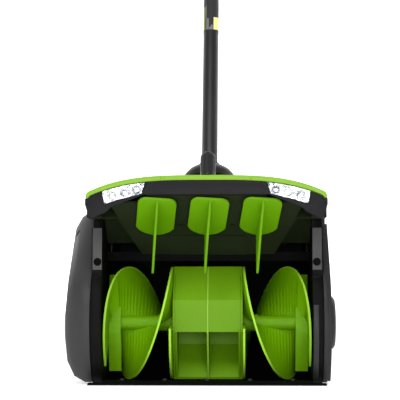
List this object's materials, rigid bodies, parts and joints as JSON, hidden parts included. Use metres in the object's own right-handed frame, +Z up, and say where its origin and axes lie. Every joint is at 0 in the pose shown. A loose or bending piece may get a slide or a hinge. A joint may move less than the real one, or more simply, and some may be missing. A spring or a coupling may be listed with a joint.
{
  "type": "cordless snow shovel",
  "caption": "Battery-powered snow shovel: a front auger throws snow past three steering vanes, with lamps, a swivelling pole and a trigger handle.",
  "frame": {"origin": "on the ground plane, directly under the auger's axis, midway between the side walls", "axes": "+X to the right in a front view, +Y to the rear, towards the user, +Z up"},
  "size_m": [0.4013, 0.6633, 1.1859],
  "materials": {
    "black_plastic": "moulded, fine texture",
    "dark_plastic": "moulded, fine texture",
    "grey_plastic": "moulded, satin",
    "green_cover": "satin bright green",
    "green_vane": "moulded leaf green",
    "green_auger": "matt deep green",
    "steel": "plain bright",
    "pole_metal": "black powder coat",
    "clear_lens": "clear moulded lens",
    "reflector": "metallised",
    "led": "white board with emitters",
    "circuit": "green board",
    "belt_rubber": "ribbed belt",
    "wire": "insulated wire",
    "grip": "soft foam",
    "label": "printed sleeve, no text"
  },
  "bodies": {
    "head": {"auger_trough": "dark_plastic", "side_wall_left": "grey_plastic", "side_wall_right": "grey_plastic", "hood_liner": "dark_plastic", "hood_bezel": "black_plastic", "top_cover": "green_cover", "scraper_bar": "dark_plastic", "scraper_screws": "steel", "rear_housing": "black_plastic", "belt_cover": "grey_plastic", "side_cover_right": "grey_plastic", "bearing_cap": "dark_plastic", "wear_strip": "grey_plastic", "cover_screws": "steel", "arm_screws": "steel", "auger_bearings": "steel", "headlight_lens_left": "clear_lens", "headlight_lens_right": "clear_lens", "headlight_reflector_left": "reflector", "headlight_reflector_right": "reflector", "led_boards": "led", "motor_body": "steel", "motor_bracket": "steel", "motor_screws": "steel", "controller_board": "circuit", "head_wiring": "wire", "battery_bay": "dark_plastic", "battery_terminals": "steel", "swivel_socket": "dark_plastic", "drive_belt": "belt_rubber"},
    "auger": {"auger_shaft": "steel", "impeller": "green_auger", "flight_left": "green_auger", "flight_right": "green_auger", "driven_pulley": "dark_plastic", "pulley_nut": "steel"},
    "motor_rotor": {"motor_shaft": "steel", "motor_pulley": "dark_plastic"},
    "vane_mid": {"vane_middle": "green_vane", "vane_knob": "dark_plastic"},
    "vane_l": {"vane_left": "green_vane"},
    "vane_r": {"vane_right": "green_vane"},
    "vane_link": {"vane_link_bar": "grey_plastic"},
    "pole": {"swivel_collar": "dark_plastic", "lower_pole": "pole_metal", "pole_label": "label", "pole_coupler": "dark_plastic"},
    "lever": {"coupler_lever": "grey_plastic"},
    "upper": {"upper_pole": "pole_metal", "assist_clamp": "dark_plastic", "handle_shell_left": "green_cover", "handle_shell_right": "black_plastic"},
    "assist": {"assist_handle": "grey_plastic", "assist_grip": "grip"},
    "assist_screw": {"assist_knob": "dark_plastic"},
    "trigger": {"trigger": "black_plastic"},
    "lock": {"lock_button": "green_cover"},
    "light_button": {"light_switch": "green_cover"},
    "battery": {"battery_pack": "green_cover"},
    "latch": {"battery_latch": "grey_plastic"}
  },
  "joints": [
    {"name": "auger_spin", "type": "hinge", "parent": "head", "child": "auger", "pos_m": [0, 0, 0.088], "axis": [1, 0, 0], "continuous": true},
    {"name": "motor_spin", "type": "hinge", "parent": "head", "child": "motor_rotor", "pos_m": [-0.17, 0.122, 0.112], "axis": [1, 0, 0], "continuous": true},
    {"name": "vane_mid_turn", "type": "hinge", "parent": "head", "child": "vane_mid", "pos_m": [0, -0.07369, 0.2368], "axis": [0, 0.5299, 0.848], "range_deg": [-34, 22]},
    {"name": "vane_left_turn", "type": "hinge", "parent": "head", "child": "vane_l", "pos_m": [-0.0752, -0.07369, 0.2368], "axis": [0, 0.5299, 0.848], "range_deg": [-34, 22]},
    {"name": "vane_right_turn", "type": "hinge", "parent": "head", "child": "vane_r", "pos_m": [0.0752, -0.07369, 0.2368], "axis": [0, 0.5299, 0.848], "range_deg": [-34, 22]},
    {"name": "link_turn", "type": "hinge", "parent": "vane_mid", "child": "vane_link", "pos_m": [-0.00188, -0.05375, 0.23495], "axis": [0, 0.5299, 0.848], "range_deg": [-22, 34]},
    {"name": "pole_swivel", "type": "hinge", "parent": "head", "child": "pole", "pos_m": [0, 0.0716, 0.3], "axis": [0, 0.4226, 0.9063], "range_deg": [-90, 90]},
    {"name": "coupler_lever_turn", "type": "hinge", "parent": "pole", "child": "lever", "pos_m": [0, 0.21714, 0.67128], "axis": [1, 0, 0], "range_deg": [0, 95]},
    {"name": "upper_pole_pull", "type": "slide", "parent": "pole", "child": "upper", "axis": [0, 0.4226, 0.9063], "range_m": [0, 0.05]},
    {"name": "assist_tilt", "type": "hinge", "parent": "upper", "child": "assist", "pos_m": [0, 0.29913, 0.86365], "axis": [1, 0, 0], "range_deg": [-30, 30]},
    {"name": "assist_knob_turn", "type": "hinge", "parent": "upper", "child": "assist_screw", "pos_m": [0, 0.3458, 0.84189], "axis": [1, 0, 0], "range_deg": [0, 180]},
    {"name": "trigger_squeeze", "type": "hinge", "parent": "upper", "child": "trigger", "pos_m": [0, 0.46923, 1.13852], "axis": [-1, 0, 0], "range_deg": [0, 9], "stiffness_Nm_per_rad": 0.5, "springref_deg": -5.73},
    {"name": "lock_press", "type": "slide", "parent": "upper", "child": "lock", "axis": [0, 0.9063, -0.4226], "range_m": [0, 0.003], "stiffness_N_per_m": 400, "springref_m": -0.002},
    {"name": "light_press", "type": "slide", "parent": "upper", "child": "light_button", "axis": [0, 0.9063, -0.4226], "range_m": [0, 0.002], "stiffness_N_per_m": 400, "springref_m": -0.002},
    {"name": "battery_slide", "type": "slide", "parent": "head", "child": "battery", "axis": [0, 1, 0], "range_m": [0, 0.1]},
    {"name": "latch_press", "type": "slide", "parent": "battery", "child": "latch", "axis": [0, 0, -1], "range_m": [0, 0.004], "stiffness_N_per_m": 400, "springref_m": -0.002}
  ],
  "couplings": [
    {"joint": "motor_spin", "follows": "auger_spin", "ratio": 4},
    {"joint": "vane_left_turn", "follows": "vane_mid_turn", "ratio": 1},
    {"joint": "vane_right_turn", "follows": "vane_mid_turn", "ratio": 1},
    {"joint": "link_turn", "follows": "vane_mid_turn", "ratio": -1}
  ]
}
